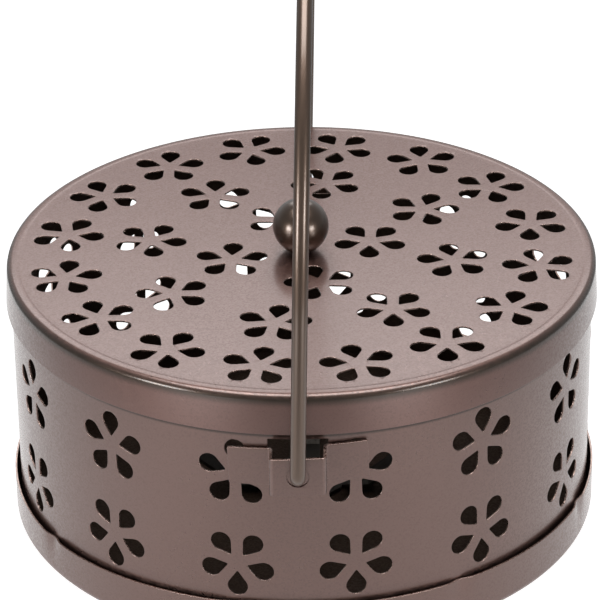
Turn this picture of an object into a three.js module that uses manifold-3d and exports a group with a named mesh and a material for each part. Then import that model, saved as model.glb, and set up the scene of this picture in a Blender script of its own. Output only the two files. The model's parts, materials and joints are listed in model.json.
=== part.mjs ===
// A round pierced case for a burning mosquito coil, with a lift-off lid and a swinging wire handle.
// Millimetres, +Z up. The case stands on z = 0 and the handle pivots on the Y direction.
import * as THREE from "three";
import { mergeGeometries, mergeVertices } from "three/addons/utils/BufferGeometryUtils.js";
import loadManifold from "manifold-3d";

// Sheet metal and clearances
const sheetThickness = 0.6;
const strapThickness = 0.8;
const seatGap = 0.3;
const ringSegments = 48;

// Case wall
const wallRadius = 73.7;

// Lid, which drops loosely over the wall
const lidClearance = 0.7;
const lidTopHeight = 70;
const lidSkirtHeight = 10.4;
const lidEdgeRadius = 1.3;

// Base tray, whose rim stands away from the wall between the crimps
const trayClearance = 0.9;
const trayHeight = 12;
const trayEdgeRadius = 1.4;
const traySegments = 60;
const trayBossRadius = 11;
const trayBossRise = 1.4;
const crimpHalfWidthDeg = 6;
const crimpAnglesDeg = [-56.5, -13.5, 31.5, 69.5];

// Pierced flowers, the same punch for the lid and the wall
const petalsPerFlower = 5;
const petalTipRadius = 2.6;
const petalRoundCentre = 6.8;
const petalHalfWidth = 2.5;
const petalRoundSteps = 5;
const punchStroke = 6;
const lidFlowerRings = [
  { count: 16, radiusShare: 0.8055, startDeg: -8.85 },
  { count: 8, radiusShare: 0.5185, startDeg: -8.85 },
  { count: 4, radiusShare: 0.2425, startDeg: 16.15 },
];
const wallColumnsPerSide = 7;
const wallPairHalfAngleDeg = 11.25;
const wallPatternTurnDeg = -0.55;
const wallPatternSlope = 1;
const rearPatternTurnDeg = 0.5;
const rearPatternSlope = -0.86;
const rearPatternDrop = 0.5;
const upperFlowerDrop = 11.8;
const lowerFlowerRise = 10.8;

// Handle straps and the windows behind them
const strapStandOff = 6.7;
const strapPlateHalfWidth = 6.8;
const strapTabReach = 16.8;
const strapHeight = 9.9;
const strapDrop = 3.4;
const strapBendRadius = 1;
const strapBendSteps = 3;
const strapTabSteps = 3;
const pivotHoleRadius = 2.65;
const pivotHoleSegments = 16;
const windowWidth = 14.4;
const windowHeight = 8;
const windowDrop = 1.85;
const unpiercedHalfWidth = 13;

// Wire handle
const wireRadius = 1.85;
const wireSides = 8;
const wireElbowRadius = 2.5;
const wireElbowSteps = 4;
const handleLegHeight = 39;
const handleArcSteps = 28;
const handleLeanDeg = 1.3;

// Knob and its screw
const knobRadius = 7.1;
const knobFootRadius = 2.6;
const knobSteps = 8;
const knobSegments = 20;
const knobThreadDepth = 6;
const screwRadius = 1.5;
const screwHeadRadius = 3;
const screwHeadHeight = 1.8;
const screwChamferShare = 0.33;
const screwSegments = 12;
const washerRadius = 4.5;
const washerThickness = 0.6;

// Coil stand and its rivet
const standArmLength = 34;
const standArmWidth = 8;
const standFlatShare = 0.5;
const standRampShare = 0.85;
const standArmRise = 12;
const standFingerHeight = 20;
const standTongueOffset = 7;
const standTongueLength = 5;
const standTongueHeight = 23;
const standTongueTipShare = 0.2;
const standFingerTipShare = 0.3;
const rivetRadius = 1.5;
const rivetHeadRadius = 3;
const rivetHeadHeight = 0.8;
const rivetCrownShare = 0.7;
const rivetSegments = 12;

// Finishes
const bronzeColor = 0x6e5c53;
const bronzeWireColor = 0x4f423a;
const steelColor = 0xa7a9ab;
const bronzeRoughness = 0.42;
const bronzeMetalness = 0.6;
const steelRoughness = 0.38;
const steelMetalness = 0.9;

// Sizes that follow from the ones above
const lidRadius = wallRadius + lidClearance + sheetThickness;
const trayRadius = wallRadius + trayClearance + sheetThickness;
const lidInnerTop = lidTopHeight - sheetThickness;
const lidSkirtBottom = lidTopHeight - lidSkirtHeight;
const upperFlowerHeight = lidSkirtBottom - upperFlowerDrop;
const lowerFlowerHeight = trayHeight + lowerFlowerRise;
const windowTopHeight = lidSkirtBottom - windowDrop;
const pivotHeight = lidSkirtBottom - strapDrop - strapHeight / 2;
const wallTop = lidInnerTop - seatGap;
const wallBottom = sheetThickness + seatGap;
const wallInnerRadius = wallRadius - sheetThickness;
const crimpDepth = trayClearance - seatGap;
const strapFace = wallRadius + strapStandOff;
const handleLegReach = strapFace + seatGap + wireRadius;
const screwHoleRadius = screwRadius + seatGap;
const rivetHoleRadius = rivetRadius + seatGap;
const trayBossTop = trayBossRise + sheetThickness;
const standBottom = trayBossTop + seatGap;
const standTop = standBottom + strapThickness;

const manifoldLibrary = await loadManifold();
manifoldLibrary.setup();

function toSolid(geometry) {
  const bare = geometry.clone();
  bare.deleteAttribute("normal");
  bare.deleteAttribute("uv");
  const merged = mergeVertices(bare);
  const mesh = new manifoldLibrary.Mesh({
    numProp: 3,
    vertProperties: new Float32Array(merged.attributes.position.array),
    triVerts: new Uint32Array(merged.index.array),
  });
  return new manifoldLibrary.Manifold(mesh);
}

function toGeometry(solid) {
  const mesh = solid.getMesh();
  const geometry = new THREE.BufferGeometry();
  geometry.setAttribute("position", new THREE.BufferAttribute(new Float32Array(mesh.vertProperties), 3));
  geometry.setIndex(new THREE.BufferAttribute(new Uint32Array(mesh.triVerts), 1));
  geometry.computeVertexNormals();
  return geometry;
}

function cut(geometry, cutters) {
  const solid = toSolid(geometry);
  const loose = cutters.map((cutter) => (cutter.index ? cutter.toNonIndexed() : cutter));
  const tools = toSolid(mergeGeometries(loose));
  return toGeometry(solid.subtract(tools));
}

function radians(degrees) {
  return THREE.MathUtils.degToRad(degrees);
}

function point(x, y) {
  return new THREE.Vector2(x, y);
}

// Points along a circular arc, ends included
function arcPoints(centreX, centreY, radius, startDeg, endDeg, steps) {
  const points = [];
  for (let i = 0; i <= steps; i += 1) {
    const angle = radians(startDeg + ((endDeg - startDeg) * i) / steps);
    points.push(point(centreX + radius * Math.cos(angle), centreY + radius * Math.sin(angle)));
  }
  return points;
}

// A ring of sheet turned round the Z axis from a closed outline of radius and height
function turnedRing(outline, segments) {
  const closed = [...outline, outline[0].clone()];
  const geometry = new THREE.LatheGeometry(closed, segments);
  geometry.rotateX(Math.PI / 2);
  return geometry;
}

// A solid turned round the Z axis from an outline that starts and ends on the axis
function turnedSolid(outline, segments) {
  const geometry = new THREE.LatheGeometry(outline, segments);
  geometry.rotateX(Math.PI / 2);
  return geometry;
}

// One petal: a drop with its point towards the middle of the flower
function petalShape(directionDeg) {
  const reach = petalRoundCentre - petalTipRadius;
  const tangentDeg = THREE.MathUtils.radToDeg(Math.PI - Math.acos(petalHalfWidth / reach));
  const outline = arcPoints(petalRoundCentre, 0, petalHalfWidth, -tangentDeg, tangentDeg, petalRoundSteps);
  outline.push(point(petalTipRadius, 0));
  const turn = radians(directionDeg);
  const origin = point(0, 0);
  return new THREE.Shape(outline.map((p) => p.rotateAround(origin, turn)));
}

function petalDirections(firstDeg) {
  const directions = [];
  for (let j = 0; j < petalsPerFlower; j += 1) {
    directions.push(firstDeg + (360 * j) / petalsPerFlower);
  }
  return directions;
}

// Punches for the lid: every flower has one petal that points at the knob
function lidPunches() {
  const punches = [];
  for (const ring of lidFlowerRings) {
    for (let k = 0; k < ring.count; k += 1) {
      const angleDeg = ring.startDeg + (360 * k) / ring.count;
      const shapes = petalDirections(angleDeg + 180).map(petalShape);
      const punch = new THREE.ExtrudeGeometry(shapes, { depth: punchStroke, bevelEnabled: false });
      const angle = radians(angleDeg);
      const x = ring.radiusShare * lidRadius * Math.cos(angle);
      const y = ring.radiusShare * lidRadius * Math.sin(angle);
      punch.translate(x, y, lidInnerTop - punchStroke / 2);
      punches.push(punch);
    }
  }
  return punches;
}

// True where a petal would run into a handle window or under its frame
function isUnpierced(columnDeg, directionDeg, flowerHeight) {
  const toStrapDeg = Math.abs(columnDeg) > 90 ? columnDeg - Math.sign(columnDeg) * 180 : columnDeg;
  const across = petalRoundCentre * Math.cos(radians(directionDeg));
  const up = petalRoundCentre * Math.sin(radians(directionDeg));
  const fromStrap = wallRadius * Math.sin(radians(toStrapDeg)) + across;
  const petalTop = flowerHeight + up + petalHalfWidth;
  return Math.abs(fromStrap) < unpiercedHalfWidth && petalTop > windowTopHeight - windowHeight;
}

// One flower punched through the wall from outside, at an angle from the front
function wallPunch(columnDeg, flowerHeight, firstPetalDeg) {
  const directions = petalDirections(firstPetalDeg);
  const kept = directions.filter((direction) => !isUnpierced(columnDeg, direction, flowerHeight));
  const punch = new THREE.ExtrudeGeometry(kept.map(petalShape), { depth: punchStroke, bevelEnabled: false });
  punch.rotateX(Math.PI / 2);
  punch.translate(0, punchStroke / 2 - wallRadius, flowerHeight);
  punch.rotateZ(radians(columnDeg));
  return punch;
}

// The wall is punched half by half, and the rows of each half rise to its right, seen from outside
function wallPunches() {
  const punches = [];
  const pitchDeg = (180 - 2 * wallPairHalfAngleDeg) / (wallColumnsPerSide - 1);
  for (const side of [-1, 1]) {
    for (let i = 0; i < wallColumnsPerSide; i += 1) {
      const placeDeg = side * (wallPairHalfAngleDeg + pitchDeg * i);
      const isRear = Math.abs(placeDeg) > 90;
      const columnDeg = placeDeg + (isRear ? rearPatternTurnDeg : wallPatternTurnDeg);
      const slope = isRear ? rearPatternSlope : wallPatternSlope;
      const rise = slope * Math.sin(radians(columnDeg)) - (isRear ? rearPatternDrop : 0);
      punches.push(wallPunch(columnDeg, upperFlowerHeight + rise, 90));
      punches.push(wallPunch(columnDeg, lowerFlowerHeight + rise, -90));
    }
  }
  return punches;
}

// One box through the wall from front to back cuts both handle windows
function windowPunch() {
  const punch = new THREE.BoxGeometry(windowWidth, 2 * strapFace, windowHeight);
  punch.translate(0, 0, windowTopHeight - windowHeight / 2);
  return punch;
}

function caseWallGeometry() {
  const outline = [
    point(wallInnerRadius, wallBottom),
    point(wallRadius, wallBottom),
    point(wallRadius, wallTop),
    point(wallInnerRadius, wallTop),
  ];
  const ring = turnedRing(outline, ringSegments);
  return cut(ring, [...wallPunches(), windowPunch()]);
}

function lidGeometry() {
  const edgeCentre = lidRadius - lidEdgeRadius;
  const edgeHeight = lidTopHeight - lidEdgeRadius;
  const innerEdge = lidEdgeRadius - sheetThickness;
  const outline = [
    point(screwHoleRadius, lidInnerTop),
    ...arcPoints(edgeCentre, edgeHeight, innerEdge, 90, 0, 1),
    point(lidRadius - sheetThickness, lidSkirtBottom),
    point(lidRadius, lidSkirtBottom),
    ...arcPoints(edgeCentre, edgeHeight, lidEdgeRadius, 0, 90, 2),
    point(screwHoleRadius, lidTopHeight),
  ];
  return cut(turnedRing(outline, ringSegments), lidPunches());
}

// The tray rim is pressed in against the wall at the crimps
function crimpTray(geometry) {
  const position = geometry.attributes.position;
  const centres = [...crimpAnglesDeg, ...crimpAnglesDeg.map((angle) => angle + 180)];
  for (let i = 0; i < position.count; i += 1) {
    const x = position.getX(i);
    const y = position.getY(i);
    const radius = Math.hypot(x, y);
    const angleDeg = THREE.MathUtils.radToDeg(Math.atan2(x, -y));
    const rise = THREE.MathUtils.clamp((position.getZ(i) - trayEdgeRadius) / (trayHeight - trayEdgeRadius), 0, 1);
    let press = 0;
    for (const centre of centres) {
      const away = Math.abs(THREE.MathUtils.euclideanModulo(angleDeg - centre + 180, 360) - 180);
      press = Math.max(press, 1 - away / crimpHalfWidthDeg);
    }
    const scale = (radius - crimpDepth * press * rise) / radius;
    position.setX(i, x * scale);
    position.setY(i, y * scale);
  }
  return geometry;
}

function trayGeometry() {
  const edgeCentre = trayRadius - trayEdgeRadius;
  const innerEdge = trayEdgeRadius - sheetThickness;
  const bossFoot = trayBossRadius + trayBossRise;
  const outline = [
    point(rivetHoleRadius, trayBossRise),
    point(trayBossRadius, trayBossRise),
    point(bossFoot, 0),
    ...arcPoints(edgeCentre, trayEdgeRadius, trayEdgeRadius, -90, 0, 2),
    point(trayRadius, trayHeight),
    point(trayRadius - sheetThickness, trayHeight),
    ...arcPoints(edgeCentre, trayEdgeRadius, innerEdge, 0, -90, 1),
    point(bossFoot, sheetThickness),
    point(trayBossRadius, trayBossTop),
    point(rivetHoleRadius, trayBossTop),
  ];
  return crimpTray(turnedRing(outline, traySegments));
}

// Middle line of the right half of a strap, from the plate to the end of the tab
function strapHalfLine() {
  const middleRadius = wallRadius + seatGap + strapThickness / 2;
  const legX = strapPlateHalfWidth - strapThickness / 2;
  const plateY = strapFace - strapThickness / 2;
  const footX = legX + strapBendRadius;
  const footY = Math.sqrt(middleRadius ** 2 - footX ** 2) + strapBendRadius;
  const topX = legX - strapBendRadius;
  const topY = plateY - strapBendRadius;
  const line = arcPoints(topX, topY, strapBendRadius, 90, 0, strapBendSteps);
  line.push(...arcPoints(footX, footY, strapBendRadius, 180, 270, strapBendSteps));
  const startDeg = THREE.MathUtils.radToDeg(Math.acos(footX / middleRadius));
  const endDeg = THREE.MathUtils.radToDeg(Math.acos(strapTabReach / middleRadius));
  line.push(...arcPoints(0, 0, middleRadius, startDeg, endDeg, strapTabSteps).slice(1));
  return line;
}

// The outline of a bent strip of even thickness round its middle line
function stripOutline(line, thickness) {
  const left = [];
  const right = [];
  for (let i = 0; i < line.length; i += 1) {
    const before = line[Math.max(i - 1, 0)];
    const after = line[Math.min(i + 1, line.length - 1)];
    const along = after.clone().sub(before).normalize();
    const across = point(-along.y, along.x).multiplyScalar(thickness / 2);
    left.push(line[i].clone().add(across));
    right.push(line[i].clone().sub(across));
  }
  return [...left, ...right.reverse()];
}

// A strap standing off the wall on the +Y side, with the pivot hole in its plate
function strapGeometry() {
  const half = strapHalfLine();
  const mirrored = half.map((p) => point(-p.x, p.y)).reverse();
  const shape = new THREE.Shape(stripOutline([...mirrored, ...half], strapThickness));
  const strap = new THREE.ExtrudeGeometry(shape, { depth: strapHeight, bevelEnabled: false });
  strap.translate(0, 0, pivotHeight - strapHeight / 2);
  const drill = new THREE.CylinderGeometry(pivotHoleRadius, pivotHoleRadius, strapFace, pivotHoleSegments);
  drill.translate(0, strapFace, pivotHeight);
  return cut(strap, [drill]);
}

// The run of the handle wire: its points and the direction of the wire at each of them
class WirePath extends THREE.Curve {
  constructor(points, directions) {
    super();
    this.points = points;
    this.directions = directions;
  }

  getPoint(t, target = new THREE.Vector3()) {
    const place = t * (this.points.length - 1);
    const index = Math.min(Math.floor(place), this.points.length - 2);
    return target.lerpVectors(this.points[index], this.points[index + 1], place - index);
  }

  getPointAt(u, target) {
    return this.getPoint(u, target);
  }

  getTangent(t, target = new THREE.Vector3()) {
    const index = Math.round(t * (this.directions.length - 1));
    return target.copy(this.directions[index]);
  }

  getTangentAt(u, target) {
    return this.getTangent(u, target);
  }
}

// Handle wire from the rear end over the top to the front end, in the plane x = 0
function handlePath() {
  const flat = [];
  const turns = [];
  const addArc = (centreY, centreZ, radius, startDeg, endDeg, steps) => {
    const way = Math.sign(endDeg - startDeg);
    arcPoints(centreY, centreZ, radius, startDeg, endDeg, steps).forEach((p, i) => {
      const angle = radians(startDeg + ((endDeg - startDeg) * i) / steps);
      flat.push(p);
      turns.push(point(-way * Math.sin(angle), way * Math.cos(angle)));
    });
  };
  const elbowY = handleLegReach - wireElbowRadius;
  const elbowZ = pivotHeight + wireElbowRadius;
  const arcHeight = pivotHeight + handleLegHeight;
  const endY = wallRadius + seatGap;
  flat.push(point(endY, pivotHeight));
  turns.push(point(1, 0));
  addArc(elbowY, elbowZ, wireElbowRadius, -90, 0, wireElbowSteps);
  addArc(0, arcHeight, handleLegReach, 0, 180, handleArcSteps);
  addArc(-elbowY, elbowZ, wireElbowRadius, 180, 270, wireElbowSteps);
  flat.push(point(-endY, pivotHeight));
  turns.push(point(1, 0));
  const points = flat.map((p) => new THREE.Vector3(0, p.x, p.y));
  const directions = turns.map((p) => new THREE.Vector3(0, p.x, p.y));
  return new WirePath(points, directions);
}

function handleGeometry() {
  const path = handlePath();
  const section = arcPoints(0, 0, wireRadius, 0, 360, wireSides).slice(0, wireSides);
  const shape = new THREE.Shape(section);
  const steps = path.points.length - 1;
  return new THREE.ExtrudeGeometry(shape, { steps, extrudePath: path, bevelEnabled: false });
}

function knobGeometry() {
  const footDrop = Math.sqrt(knobRadius ** 2 - knobFootRadius ** 2);
  const centre = lidTopHeight + seatGap + footDrop;
  const footDeg = -THREE.MathUtils.radToDeg(Math.atan2(footDrop, knobFootRadius));
  const outline = [
    point(0, centre - footDrop + knobThreadDepth),
    point(screwHoleRadius, centre - footDrop + knobThreadDepth),
    point(screwHoleRadius, centre - footDrop),
    ...arcPoints(0, centre, knobRadius, footDeg, 90, knobSteps),
  ];
  outline[outline.length - 1].x = 0;
  return turnedSolid(outline, knobSegments);
}

function screwGeometry() {
  const headTop = lidInnerTop - seatGap - washerThickness - seatGap;
  const headBottom = headTop - screwHeadHeight;
  const tip = lidTopHeight + knobThreadDepth;
  const chamfer = screwHeadHeight * screwChamferShare;
  const outline = [
    point(0, headBottom),
    point(screwHeadRadius - chamfer, headBottom),
    point(screwHeadRadius, headBottom + chamfer),
    point(screwHeadRadius, headTop),
    point(screwRadius, headTop),
    point(screwRadius, tip),
    point(0, tip),
  ];
  return turnedSolid(outline, screwSegments);
}

function washerGeometry() {
  const top = lidInnerTop - seatGap;
  const bottom = top - washerThickness;
  const outline = [
    point(screwHoleRadius, bottom),
    point(washerRadius, bottom),
    point(washerRadius, top),
    point(screwHoleRadius, top),
  ];
  return turnedRing(outline, screwSegments);
}

// Side view of one stand arm: flat, then a ramp, then an upright pointed finger
function standArmGeometry(turnDeg) {
  const flatEnd = standArmLength * standFlatShare;
  const rampEnd = standArmLength * standRampShare;
  const line = [
    point(0, standBottom + strapThickness / 2),
    point(flatEnd, standBottom + strapThickness / 2),
    point(rampEnd, standArmRise),
    point(standArmLength, standFingerHeight),
  ];
  const shape = new THREE.Shape(stripOutline(line, strapThickness));
  const arm = new THREE.ExtrudeGeometry(shape, { depth: standArmWidth, bevelEnabled: false });
  arm.rotateX(Math.PI / 2);
  arm.translate(0, standArmWidth / 2, 0);
  taperTip(arm, standArmRise, standFingerHeight, standFingerTipShare);
  arm.rotateZ(radians(turnDeg));
  return arm;
}

// Narrows a strip towards its top, between two heights
function taperTip(geometry, startHeight, endHeight, tipShare) {
  const position = geometry.attributes.position;
  for (let i = 0; i < position.count; i += 1) {
    const rise = THREE.MathUtils.clamp((position.getZ(i) - startHeight) / (endHeight - startHeight), 0, 1);
    position.setY(i, position.getY(i) * THREE.MathUtils.lerp(1, tipShare, rise));
  }
}

// The pointed tongue in the middle of the stand, on which the coil is pushed
function standTongueGeometry() {
  const half = standTongueLength / 2;
  const tipHalf = half * standTongueTipShare;
  const shape = new THREE.Shape([
    point(-half, standBottom),
    point(half, standBottom),
    point(half, standArmRise),
    point(tipHalf, standTongueHeight),
    point(-tipHalf, standTongueHeight),
    point(-half, standArmRise),
  ]);
  const tongue = new THREE.ExtrudeGeometry(shape, { depth: strapThickness, bevelEnabled: false });
  tongue.rotateX(Math.PI / 2);
  tongue.rotateZ(Math.PI / 2);
  tongue.translate(standTongueOffset, 0, 0);
  return tongue;
}

function standGeometry() {
  let solid = toSolid(standArmGeometry(0));
  for (const turnDeg of [90, 180, 270]) {
    solid = solid.add(toSolid(standArmGeometry(turnDeg)));
  }
  const hubOutline = [
    point(0, standBottom),
    point(trayBossRadius, standBottom),
    point(trayBossRadius, standTop),
    point(0, standTop),
  ];
  solid = solid.add(toSolid(turnedSolid(hubOutline, screwSegments)));
  solid = solid.add(toSolid(standTongueGeometry()));
  const drill = new THREE.CylinderGeometry(rivetHoleRadius, rivetHoleRadius, standTop, rivetSegments);
  drill.rotateX(Math.PI / 2);
  drill.translate(0, 0, standTop);
  return toGeometry(solid.subtract(toSolid(drill)));
}

function rivetGeometry() {
  const lowerTop = trayBossRise - seatGap;
  const lowerBottom = lowerTop - rivetHeadHeight;
  const upperBottom = standTop + seatGap;
  const upperTop = upperBottom + rivetHeadHeight;
  const rimX = rivetHeadRadius * rivetCrownShare;
  const outline = [
    point(0, lowerBottom),
    point(rimX, lowerBottom),
    point(rivetHeadRadius, lowerTop),
    point(rivetRadius, lowerTop),
    point(rivetRadius, upperBottom),
    point(rivetHeadRadius, upperBottom),
    point(rimX, upperTop),
    point(0, upperTop),
  ];
  return turnedSolid(outline, rivetSegments);
}

function bronzeFinish() {
  return new THREE.MeshStandardMaterial({
    color: bronzeColor,
    roughness: bronzeRoughness,
    metalness: bronzeMetalness,
  });
}

function wireFinish() {
  return new THREE.MeshStandardMaterial({
    color: bronzeWireColor,
    roughness: bronzeRoughness,
    metalness: bronzeMetalness,
  });
}

function steelFinish() {
  return new THREE.MeshStandardMaterial({
    color: steelColor,
    roughness: steelRoughness,
    metalness: steelMetalness,
  });
}

function namedMesh(name, geometry, material) {
  const mesh = new THREE.Mesh(geometry, material);
  mesh.name = name;
  return mesh;
}

// Tray, wall, straps and coil stand, which stay together
function caseGroup() {
  const group = new THREE.Group();
  group.add(namedMesh("base_tray", trayGeometry(), bronzeFinish()));
  group.add(namedMesh("case_wall", caseWallGeometry(), bronzeFinish()));
  const rearStrap = namedMesh("rear_handle_strap", strapGeometry(), bronzeFinish());
  const frontStrap = namedMesh("front_handle_strap", strapGeometry(), bronzeFinish());
  frontStrap.rotation.z = Math.PI;
  group.add(rearStrap, frontStrap);
  group.add(namedMesh("coil_stand", standGeometry(), steelFinish()));
  group.add(namedMesh("coil_stand_rivet", rivetGeometry(), steelFinish()));
  return group;
}

// Lid with its knob, which lift off together
function lidGroup() {
  const group = new THREE.Group();
  group.add(namedMesh("lid", lidGeometry(), bronzeFinish()));
  group.add(namedMesh("lid_knob", knobGeometry(), wireFinish()));
  group.add(namedMesh("knob_screw", screwGeometry(), steelFinish()));
  group.add(namedMesh("knob_washer", washerGeometry(), steelFinish()));
  return group;
}

// The handle leans a little on its pivots
function handleGroup() {
  const group = new THREE.Group();
  const wire = namedMesh("wire_handle", handleGeometry(), wireFinish());
  wire.position.z = -pivotHeight;
  group.add(wire);
  group.position.z = pivotHeight;
  group.rotation.y = radians(handleLeanDeg);
  return group;
}

const holder = new THREE.Group();
holder.add(caseGroup(), lidGroup(), handleGroup());

export default holder;
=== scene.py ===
"""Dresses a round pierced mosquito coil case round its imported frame.

Sizes in the classes are millimetres and the finished meshes are metres. Z is up, the case stands
on z = 0, the camera looks along +Y and the wire handle turns on the Y direction.
"""

import json
import logging
import math
from dataclasses import dataclass, field, replace
from enum import Enum

import bmesh
import bpy
from mathutils import Matrix, Vector

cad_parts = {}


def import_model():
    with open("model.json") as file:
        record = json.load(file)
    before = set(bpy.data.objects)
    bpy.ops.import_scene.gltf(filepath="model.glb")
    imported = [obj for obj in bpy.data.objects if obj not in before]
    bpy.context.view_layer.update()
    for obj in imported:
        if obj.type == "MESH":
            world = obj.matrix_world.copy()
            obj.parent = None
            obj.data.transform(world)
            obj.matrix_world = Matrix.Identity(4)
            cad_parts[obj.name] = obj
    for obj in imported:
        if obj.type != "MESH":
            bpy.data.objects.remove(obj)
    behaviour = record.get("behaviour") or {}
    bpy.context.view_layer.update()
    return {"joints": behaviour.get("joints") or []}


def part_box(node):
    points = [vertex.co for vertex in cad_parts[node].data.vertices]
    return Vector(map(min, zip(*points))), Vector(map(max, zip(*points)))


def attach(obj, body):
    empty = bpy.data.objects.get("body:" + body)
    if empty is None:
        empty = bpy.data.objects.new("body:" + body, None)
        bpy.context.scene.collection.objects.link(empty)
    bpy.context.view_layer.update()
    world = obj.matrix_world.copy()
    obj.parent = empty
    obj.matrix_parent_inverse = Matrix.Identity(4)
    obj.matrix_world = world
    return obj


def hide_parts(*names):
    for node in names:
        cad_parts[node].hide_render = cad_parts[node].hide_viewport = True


Mesh = bmesh.types.BMesh
Object = bpy.types.Object
Socket = bpy.types.NodeSocket
Color = tuple[float, float, float, float]

LOG = logging.getLogger("coil_case")
MM = 0.001
# Points nearer to each other than this, in millimetres, are one point.
WELD = 0.01
# The front of the case, as an angle from the X axis.
FRONT = -90.0
ORIGIN = Vector((0.0, 0.0, 0.0))
X_AXIS = Vector((1.0, 0.0, 0.0))
Y_AXIS = Vector((0.0, 1.0, 0.0))
Z_AXIS = Vector((0.0, 0.0, 1.0))
WHITE = (1.0, 1.0, 1.0, 1.0)


class Slot(Enum):
    """The record's material slots."""

    BRONZE = "bronze_paint"
    DARK_BRONZE = "dark_bronze"
    STEEL = "plated_steel"


class Body(Enum):
    """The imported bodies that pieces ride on."""

    CASE = "case"
    LID = "lid_body"
    HANDLE = "handle"


# Finishes


class NodeBuilder:
    """Adds and links shader nodes in one tree."""

    def __init__(self, tree: bpy.types.NodeTree) -> None:
        """Keeps the tree to build in."""
        self.tree = tree

    @classmethod
    def emptied(cls, owner: bpy.types.Material | bpy.types.World) -> "NodeBuilder":
        """A builder for the emptied tree of a new material or world.

        Args:
            owner: The material or the world.

        Returns:
            The builder.
        """
        owner.use_nodes = True
        owner.node_tree.nodes.clear()
        return cls(owner.node_tree)

    def feed(self, socket: Socket, value: object) -> None:
        """Links an input to a socket, or sets the input's value.

        Args:
            socket: The input.
            value: The socket to link or the value to set.
        """
        if isinstance(value, bpy.types.NodeSocket):
            self.tree.links.new(value, socket)
        else:
            socket.default_value = value

    def node(self, kind: str, values: dict[str, object] | None = None) -> bpy.types.Node:
        """Adds a node and sets or links its inputs.

        Args:
            kind: The node's type.
            values: For each input's name, a socket to link or a value to set.

        Returns:
            The new node.
        """
        made = self.tree.nodes.new(kind)
        for name, value in (values or {}).items():
            self.feed(made.inputs[name], value)
        return made

    def math(self, operation: str, *values: object) -> Socket:
        """Adds a math node and gives its result.

        Args:
            operation: What it does.
            *values: Its sockets or numbers.

        Returns:
            The result's socket.
        """
        made = self.tree.nodes.new("ShaderNodeMath")
        made.operation = operation
        for socket, value in zip(made.inputs, values):
            self.feed(socket, value)
        return made.outputs[0]

    def distance(self, first: Socket, second: Socket) -> Socket:
        """The length of the diagonal of two distances that lie at right angles."""
        squares = (self.math("MULTIPLY", value, value) for value in (first, second))
        return self.math("SQRT", self.math("ADD", *squares))

    def fade(
        self, value: Socket, ends: tuple[float, float], results: tuple[float, float], soft: bool = False
    ) -> Socket:
        """Adds a fade from one result to another.

        Args:
            value: What the fade follows.
            ends: Where it begins and ends.
            results: The results there.
            soft: Whether it eases in and out.

        Returns:
            The result's socket.
        """
        names = ("From Min", "From Max", "To Min", "To Max")
        made = self.node("ShaderNodeMapRange", {"Value": value, **dict(zip(names, ends + results))})
        made.interpolation_type = "SMOOTHSTEP" if soft else "LINEAR"
        return made.outputs["Result"]

    def blend(self, first: object, second: object, share: object, kind: str = "MIX") -> Socket:
        """Adds a blend of two colours.

        Args:
            first: The first colour.
            second: The second colour.
            share: The share of the second colour.
            kind: How they are blended.

        Returns:
            The blended colour's socket.
        """
        made = self.tree.nodes.new("ShaderNodeMix")
        made.data_type = "RGBA"
        made.blend_type = kind
        for name, value in (("Factor", share), ("A", first), ("B", second)):
            self.feed(made.inputs[name], value)
        return made.outputs["Result"]

    def noise(self, place: Socket, scale: Socket, detail: float) -> Socket:
        """Adds a noise and gives its value."""
        made = self.node("ShaderNodeTexNoise", {"Vector": place, "Scale": scale, "Detail": detail})
        return made.outputs["Fac"]


class PaintGrain:
    """The shared node group for the fine sparkle and soft unevenness of a sprayed metallic coat.

    It puts out a colour factor, a roughness shift and a height. The plated steel's mottle comes
    from it too.
    """

    NAME = "sprayed coat grain"
    INPUTS = {"Grain Scale": 2600.0, "Sparkle": 0.2, "Cloud Scale": 28.0, "Clouding": 0.1}
    OUTPUTS = ("Factor", "Roughness Shift", "Height")
    CLOUD_DETAIL = 4.0
    PEEL_DETAIL = 2.0
    MIDDLE = 0.5

    def place(self, build: NodeBuilder, values: dict[str, float]) -> bpy.types.Node:
        """Puts the group in a material with the material's own values.

        Args:
            build: The material's node builder.
            values: For each input's name, its value.

        Returns:
            The group's node.
        """
        made = build.node("ShaderNodeGroup")
        made.node_tree = bpy.data.node_groups.get(self.NAME) or self._build()
        for name, value in values.items():
            build.feed(made.inputs[name], value)
        return made

    def _build(self) -> bpy.types.NodeTree:
        """Builds the group.

        Returns:
            The node group.
        """
        group = bpy.data.node_groups.new(self.NAME, "ShaderNodeTree")
        for name, value in self.INPUTS.items():
            socket = group.interface.new_socket(name, in_out="INPUT", socket_type="NodeSocketFloat")
            socket.default_value = value
        for name in self.OUTPUTS:
            group.interface.new_socket(name, in_out="OUTPUT", socket_type="NodeSocketFloat")
        build = NodeBuilder(group)
        enter = build.node("NodeGroupInput").outputs
        place = build.node("ShaderNodeTexCoord").outputs["Object"]
        flakes = build.node("ShaderNodeTexVoronoi", {"Vector": place, "Scale": enter["Grain Scale"]})
        flake = build.node("ShaderNodeSeparateColor", {"Color": flakes.outputs["Color"]}).outputs["Red"]
        cloud = build.noise(place, enter["Cloud Scale"], self.CLOUD_DETAIL)
        peel = build.noise(place, enter["Grain Scale"], self.PEEL_DETAIL)
        sparkle = build.math("MULTIPLY", build.math("SUBTRACT", flake, self.MIDDLE), enter["Sparkle"])
        clouding = build.math("MULTIPLY", build.math("SUBTRACT", cloud, self.MIDDLE), enter["Clouding"])
        shift = build.math("ADD", sparkle, clouding)
        results = (build.math("ADD", shift, 1.0), shift, peel)
        build.node("NodeGroupOutput", dict(zip(self.OUTPUTS, results)))
        return group


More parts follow.
